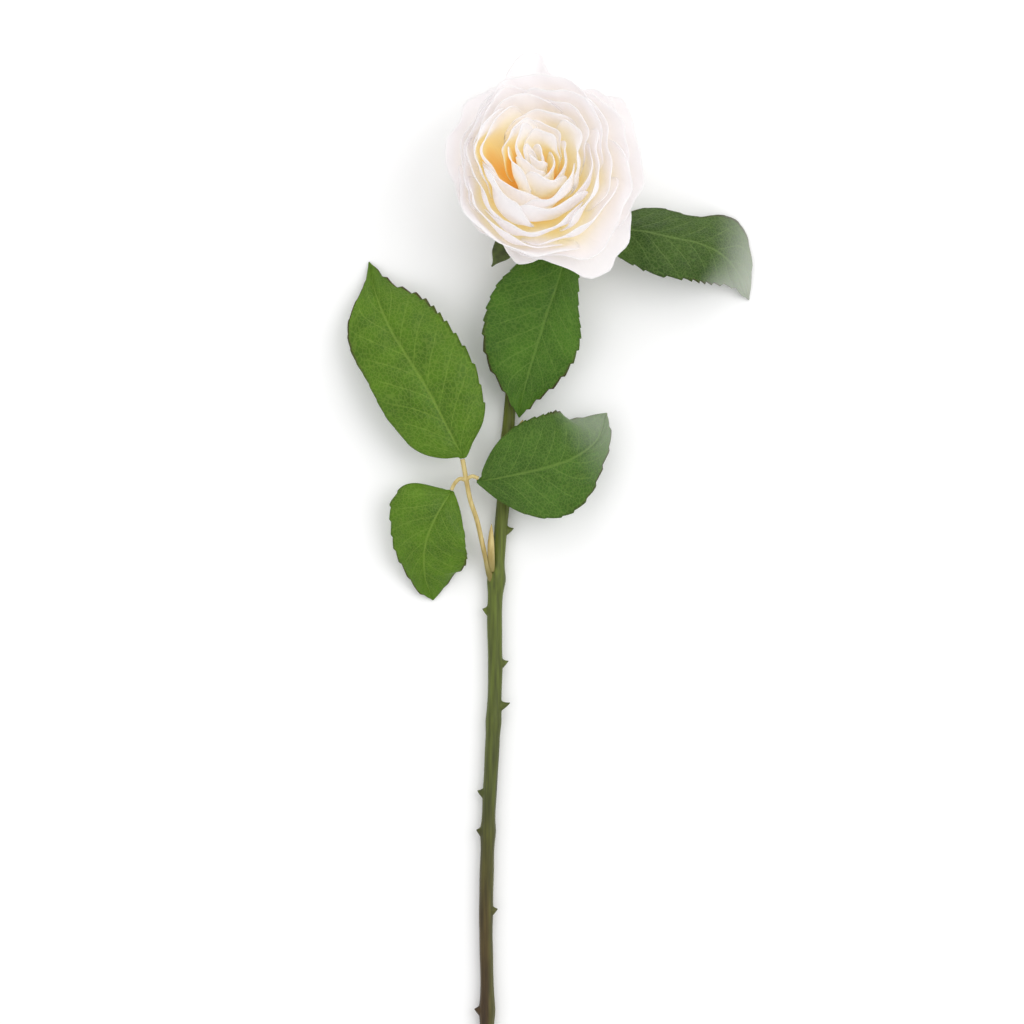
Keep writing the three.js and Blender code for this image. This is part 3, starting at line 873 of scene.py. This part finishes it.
material, tree, shader = new_material("petal_skin")
place = tree.nodes.new("ShaderNodeTexCoord")
warmth = tree.nodes.new("ShaderNodeAttribute")
warmth.attribute_name = "warmth"
mottle = noise(tree, 120, 3)
uneven = maths(tree, "MULTIPLY_ADD", mottle.outputs["Fac"], 0.12, -0.06)
tone = maths(tree, "ADD", warmth.outputs["Fac"], uneven)
# This ramp gives the petals' own colour and also the colour of their faint glow, which is painted light.
cream_and_painted_glow = colour_ramp(
    tree,
    (0, (0.935, 0.92, 0.925)),
    (0.2, (0.965, 0.945, 0.915)),
    (0.42, (0.985, 0.95, 0.8)),
    (0.7, (0.985, 0.905, 0.58)),
    (1, (0.95, 0.68, 0.22)),
)
stretch = stretched(tree, (46, 3.5, 1))
fibres = noise(tree, 1, 3)
bump = relief(tree, 0.22, 0.0006)
link_up(
    tree,
    ((place, "Object"), (mottle, "Vector")),
    ((place, "UV"), (stretch, "Vector")),
    ((stretch, "Vector"), (fibres, "Vector")),
    ((fibres, "Fac"), (bump, "Height")),
    ((bump, "Normal"), (shader, "Normal")),
    ((cream_and_painted_glow, "Color"), (shader, "Base Color")),
    ((cream_and_painted_glow, "Color"), (shader, "Emission Color")),
)
tree.links.new(tone, cream_and_painted_glow.inputs["Fac"])
shader.inputs["Roughness"].default_value = 0.62
shader.inputs["Specular IOR Level"].default_value = 0.25
shader.inputs["Sheen Weight"].default_value = 0.12
# The petals glow faintly in their own colour though they are no lamp: painted light that brightens the
# bloom.
shader.inputs["Emission Strength"].default_value = 0.09
glow = tree.nodes.new("ShaderNodeBsdfTranslucent")
blend = tree.nodes.new("ShaderNodeMixShader")
blend.inputs["Fac"].default_value = 0.36
link_up(tree, ((cream_and_painted_glow, "Color"), (glow, "Color")), ((bump, "Normal"), (glow, "Normal")))
tree.links.new(shader.outputs["BSDF"], blend.inputs[1])
tree.links.new(glow.outputs["BSDF"], blend.inputs[2])
tree.links.new(blend.outputs["Shader"], tree.nodes["Material Output"].inputs["Surface"])
petal_material = material

# From the heart outwards. For each whorl: how many petals; the azimuth of its first; the reach of its rim to
# the east, north, west and south and its height, in millimetres; the degrees that a petal curves through
# from foot to rim; and how far the rim waves and rolls out.
Whorl = namedtuple("Whorl", "petals first reaches height closing wave roll_out")
whorls = [
    Whorl(3, 20, (3.1, 3.1, 3.1, 3.1), 39, 90, 0.1, 0.2),
    Whorl(4, 65, (8.5, 8.7, 7.5, 7.7), 41, 100, 0.4, 0.5),
    Whorl(5, -80, (12.6, 13, 11.2, 12.2), 42, 107, 0.4, 0.6),
    Whorl(5, -60, (16.6, 19.2, 18, 18.2), 41, 109, 0.5, 0.7),
    Whorl(6, -75, (21, 25, 22, 24), 39, 108, 0.6, 0.8),
    Whorl(5, -88, (25.8, 30, 25.6, 29.4), 35.5, 102, 0.6, 0.9),
    Whorl(5, -52, (31.6, 34.8, 29.2, 34), 29, 94, 0.6, 1.0),
    Whorl(4, -35, (38.4, 39, 32.6, 36.6), 21, 86, 0.7, 1.3),
    Whorl(5, -62, (44, 42.8, 35.8, 36.5), 14, 76, 0.9, 1.6),
]
layers = np.arange(len(whorls))

# The outer petals open further on one side, and their rims have lobes and nicks. For each lobe: its azimuth
# and spread in degrees, and how far it stands out and up in millimetres.
open_side, open_spread, open_out, open_down = -52, 28, 2.4, 4
lobes = (
    (94.5, 9.5, 9.5, 3),
    (127, 15, 3.5, 1),
    (50, 12, 4, 4),
    (-57, 9, 5, 0),
    (-97, 9, 2.5, 1),
    (-121, 8, -3, 0),
)


def angle_from(azimuth, degrees):
    """How far round the bloom azimuth is from a direction given in degrees, in radians either way."""
    return np.angle(np.exp(1j * (azimuth - np.radians(degrees))))


def bloom_point(layer, azimuth, rise, roll_out, waving):
    """A point of the bloom: layer counts whorls outwards, and rise goes from a petal's foot to its rim."""
    inside = np.clip(layer, -0.6, 8.6)
    reach = [smooth(layers, [whorl.reaches[side] for whorl in whorls], inside) for side in range(4)]
    east, north, west, south = reach
    rim = (east + north + west + south) / 4 + (east - north + west - south) / 4 * np.cos(2 * azimuth)
    rim = rim + (east - west) / 2 * np.cos(azimuth) + (north - south) / 2 * np.sin(azimuth)
    rim_height = smooth(layers, [whorl.height for whorl in whorls], inside)
    foot = 1 + 0.65 * inside
    closing = np.radians(smooth(layers, [whorl.closing for whorl in whorls], inside))
    outward = np.sin(rise * closing) / np.sin(closing)
    upward = (1 - np.cos(rise * closing)) / (1 - np.cos(closing))
    opening = np.exp(-((angle_from(azimuth, open_side) / np.radians(open_spread)) ** 2))
    opening = np.maximum(inside - 6, 0) * opening * ease(0.5, 1, rise) ** 2
    lip = np.clip((rise - 0.86) / 0.14, 0, 1.6) ** 2
    radius = foot + (rim - foot) * outward + open_out * opening + roll_out * lip + waving
    height = -inside + (rim_height + inside) * upward - open_down * opening - 0.35 * roll_out * lip
    for towards, spread, out, up in lobes:
        lobe = np.exp(-((angle_from(azimuth, towards) / np.radians(spread)) ** 4))
        lobe = ease(6.9, 7.5, layer) * lobe * ease(0.6, 0.95, rise)
        radius = radius + out * lobe
        height = height + up * lobe
    points = np.column_stack([radius * np.cos(azimuth), radius * np.sin(azimuth), height])
    # Slow waves through the whole bloom keep its whorls from being too regular.
    x, y, z = points.T
    away_from_foot = ease(5, 22, np.hypot(x, y) + np.maximum(z, 0))
    shift = np.column_stack(
        [
            0.9 * np.sin(y * 0.21 + z * 0.12 + 0.6) + 0.4 * np.sin(y * 0.43 + z * 0.3),
            0.9 * np.sin(x * 0.2 - z * 0.14 + 2.1) + 0.4 * np.sin(x * 0.45 + z * 0.25),
            1.0 * np.sin(x * 0.16 + 1.2) * np.sin(y * 0.18 + 0.4),
        ]
    )
    return points + shift * away_from_foot[:, None]


petal_thickness = 0.0004
petal_overlap = 1.45
gap_side = 168


def grow_petal(k, number, phases, tall, drift):
    """Makes one petal of whorl k. phases set the waves and nicks of its rim, tall is its height beside the
    others, and drift is how far it strays into the next whorl."""
    whorl = whorls[k]
    spacing = 2 * np.pi / whorl.petals
    middle = np.radians(whorl.first) + number * spacing
    winding = -1 if k % 2 else 1

    def angles(u, v):
        rise = v * (1 - 0.34 * (1 - np.sqrt(np.maximum(1 - np.abs(u) ** 3, 0))))
        spread = 0.28 + 0.72 * ease(0, 0.55, rise)
        return rise, middle + u * spacing * petal_overlap * spread / 2

    def petal_points(u, v):
        rise, azimuth = angles(u, v)
        notches = 0.03 * np.sin(2.6 * u + phases[0]) + 0.016 * np.sin(6.3 * u + phases[1])
        rise = rise * tall * (1 + notches * ease(0.5, 1, v))
        layer = k + winding * 0.33 * u * ease(0.05, 0.35, rise) + drift * ease(0.2, 0.6, rise)
        if k in (3, 4):
            gap = np.exp(-((angle_from(azimuth, gap_side) / 0.42) ** 2))
            layer = layer + (0.8 if k == 3 else 0.35) * gap * ease(0.2, 0.7, rise)
        waving = np.sin(3.2 * u + phases[2]) + 0.3 * np.sin(8 * u + phases[3])
        waving = whorl.wave * ease(0.5, 1, v) * waving
        return from_bloom(bloom_point(layer, azimuth, rise, whorl.roll_out, waving))

    def petal_warmth(u, v):
        rise, azimuth = angles(u, v)
        heart = 1 - 0.5 * ease(5.5, 8.5, k) + (0.25 if k in (1, 2) else 0)
        fade_from, fade_to = (0.55, 1.02) if k < 4 else (0.42, 0.96)
        inner = (0.6 if k in (1, 2) else 0.5) * (1 - ease(fade_from, fade_to, rise))
        inner = heart * (inner + 0.38 * (1 - ease(0.1, 0.6, rise)))
        outer = (0.5 if k == 1 else 0.06) * (1 - ease(0.35, 0.85, rise))
        outer = heart * (outer + 0.22 * (1 - ease(0.1, 0.5, rise)))
        gap = np.exp(-((angle_from(azimuth, gap_side) / 0.5) ** 2))
        extra = (0.38 if k in (2, 3, 4) else 0) * gap * (1 - ease(0.6, 0.98, rise))
        # A sheet's points run over its outer side first.
        return np.clip(np.r_[outer + extra, inner + extra], 0, 1)

    petal = sheet(
        f"petal_soft_{k + 1}_{number + 1}",
        34,
        36,
        petal_points,
        petal_thickness,
        petal_material,
        {"warmth": petal_warmth},
    )
    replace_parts(petal, f"petal_{k + 1}_{number + 1}")


rng = np.random.default_rng(11)
for k, whorl in enumerate(whorls):
    for number in range(whorl.petals):
        phases = rng.uniform(0, 2 * np.pi, 4)
        tall = 1 + rng.uniform(-0.13, 0.04)
        drift = rng.uniform(-0.12, 0.12)
        grow_petal(k, number, phases, tall, drift)
